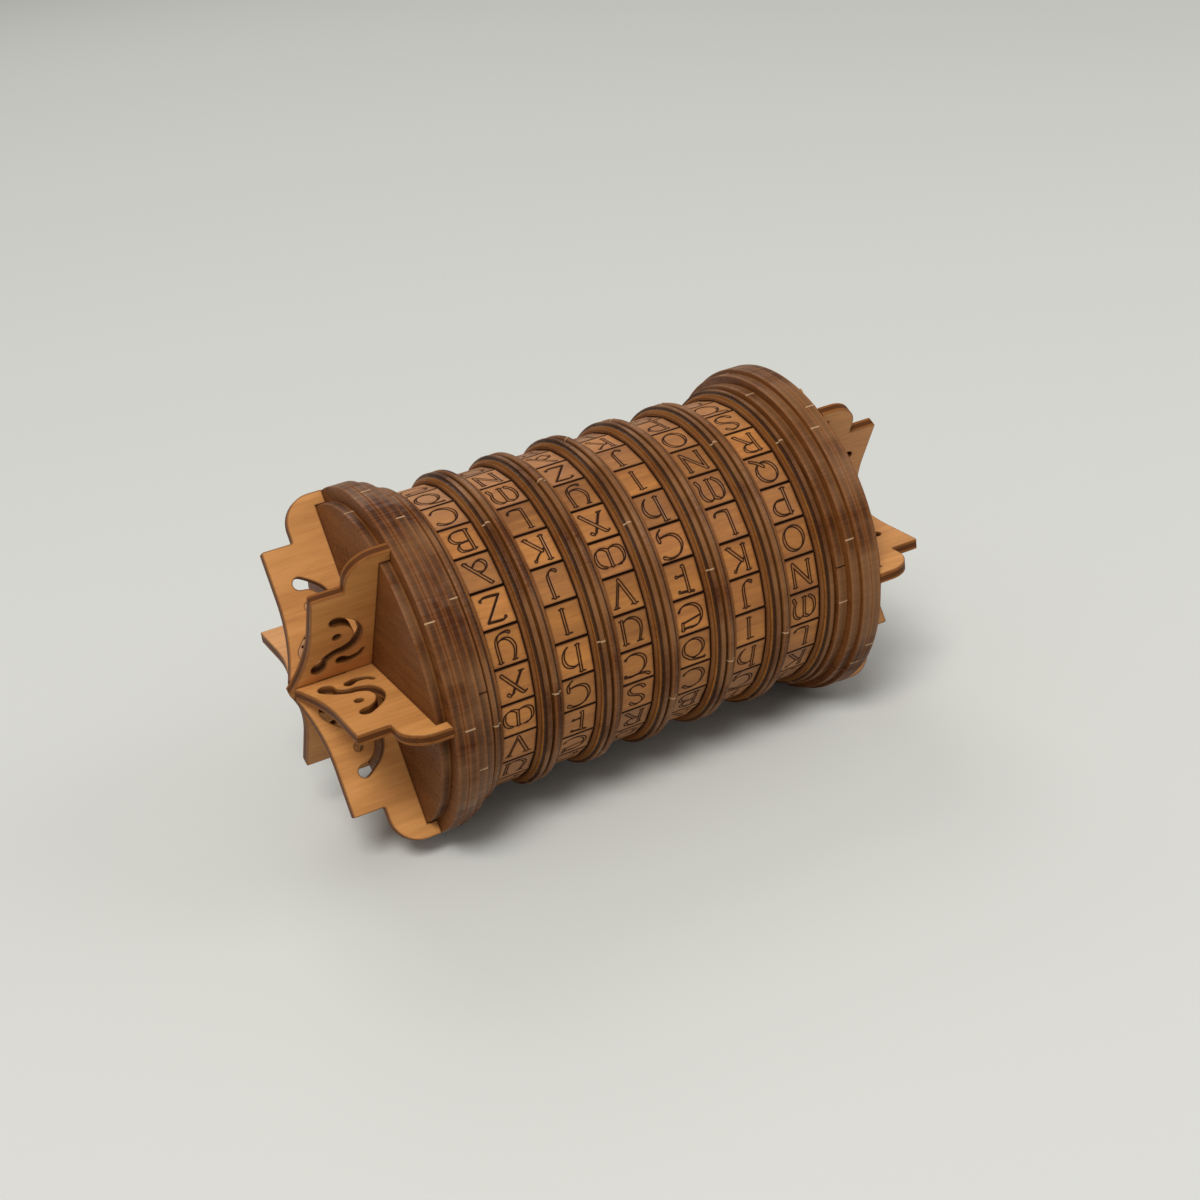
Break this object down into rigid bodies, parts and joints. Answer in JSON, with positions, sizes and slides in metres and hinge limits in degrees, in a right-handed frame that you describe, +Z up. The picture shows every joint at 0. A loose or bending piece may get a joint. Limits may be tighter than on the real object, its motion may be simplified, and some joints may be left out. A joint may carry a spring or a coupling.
{
  "type": "cryptex puzzle box",
  "caption": "Wooden cryptex: letter rings turn on a square core and unlock a sliding drawer; stepped end caps with crossing fretwork plates.",
  "frame": {"origin": "lowest point of the cap rims, below the middle of the long axis", "axes": "+X along the long axis from the drawer's cap to the fixed cap, +Y away from the front, +Z up"},
  "size_m": [0.1864, 0.1, 0.1],
  "materials": {
    "letter_band_ply": "honey-brown laser-engraved plywood facets, oiled, satin",
    "flange_ply": "dark laser-charred plywood edges with a thin lacquer",
    "cap_ply": "dark laser-charred stacked plywood edges with a thin lacquer",
    "fretwork_ply": "orange-brown plywood faces with charred cut edges, satin",
    "lock_ply": "raw birch plywood, matt",
    "key_ply": "raw birch plywood, matt",
    "box_ply": "raw birch plywood, matt"
  },
  "bodies": {
    "case": {"core_back_panel": "box_ply", "core_bottom_panel": "box_ply", "core_front_panel": "box_ply", "core_top_panel": "box_ply", "guide_rib_1": "lock_ply", "guide_rib_2": "lock_ply", "guide_rib_3": "lock_ply", "guide_rib_4": "lock_ply", "guide_rib_5": "lock_ply", "guide_rib_6": "lock_ply", "guide_rib_7": "lock_ply", "right_cap_disc_1": "cap_ply", "right_cap_disc_2": "cap_ply", "right_cap_disc_3": "cap_ply", "right_cap_disc_4": "cap_ply", "right_cap_disc_5": "cap_ply", "right_fretwork_plate_1": "fretwork_ply", "right_fretwork_plate_2": "fretwork_ply", "right_fretwork_plate_3": "fretwork_ply"},
    "drawer": {"drawer_back_wall": "box_ply", "drawer_end_wall": "box_ply", "drawer_floor": "box_ply", "drawer_front_wall": "box_ply", "key_rail": "key_ply", "key_teeth": "key_ply", "left_cap_disc_1": "cap_ply", "left_cap_disc_2": "cap_ply", "left_cap_disc_3": "cap_ply", "left_cap_disc_4": "cap_ply", "left_cap_disc_5": "cap_ply", "left_fretwork_plate_1": "fretwork_ply", "left_fretwork_plate_2": "fretwork_ply", "left_fretwork_plate_3": "fretwork_ply"},
    "ring_1": {"ring_1_gate": "lock_ply", "ring_1_left_flange": "flange_ply", "ring_1_letter_band": "letter_band_ply", "ring_1_right_flange": "flange_ply"},
    "ring_2": {"ring_2_gate": "lock_ply", "ring_2_left_flange": "flange_ply", "ring_2_letter_band": "letter_band_ply", "ring_2_right_flange": "flange_ply"},
    "ring_3": {"ring_3_gate": "lock_ply", "ring_3_left_flange": "flange_ply", "ring_3_letter_band": "letter_band_ply", "ring_3_right_flange": "flange_ply"},
    "ring_4": {"ring_4_gate": "lock_ply", "ring_4_left_flange": "flange_ply", "ring_4_letter_band": "letter_band_ply", "ring_4_right_flange": "flange_ply"},
    "ring_5": {"ring_5_gate": "lock_ply", "ring_5_left_flange": "flange_ply", "ring_5_letter_band": "letter_band_ply", "ring_5_right_flange": "flange_ply"},
    "ring_6": {"ring_6_gate": "lock_ply", "ring_6_left_flange": "flange_ply", "ring_6_letter_band": "letter_band_ply", "ring_6_right_flange": "flange_ply"}
  },
  "joints": [
    {"name": "ring_1_turn", "type": "hinge", "parent": "case", "child": "ring_1", "pos_m": [-0.045, 0, 0.05], "axis": [1, 0, 0], "continuous": true},
    {"name": "ring_2_turn", "type": "hinge", "parent": "case", "child": "ring_2", "pos_m": [-0.027, 0, 0.05], "axis": [1, 0, 0], "continuous": true},
    {"name": "ring_3_turn", "type": "hinge", "parent": "case", "child": "ring_3", "pos_m": [-0.009, 0, 0.05], "axis": [1, 0, 0], "continuous": true},
    {"name": "ring_4_turn", "type": "hinge", "parent": "case", "child": "ring_4", "pos_m": [0.009, 0, 0.05], "axis": [1, 0, 0], "continuous": true},
    {"name": "ring_5_turn", "type": "hinge", "parent": "case", "child": "ring_5", "pos_m": [0.027, 0, 0.05], "axis": [1, 0, 0], "continuous": true},
    {"name": "ring_6_turn", "type": "hinge", "parent": "case", "child": "ring_6", "pos_m": [0.045, 0, 0.05], "axis": [1, 0, 0], "continuous": true},
    {"name": "drawer_slide", "type": "slide", "parent": "case", "child": "drawer", "axis": [-1, 0, 0], "range_m": [0, 0.12]}
  ]
}
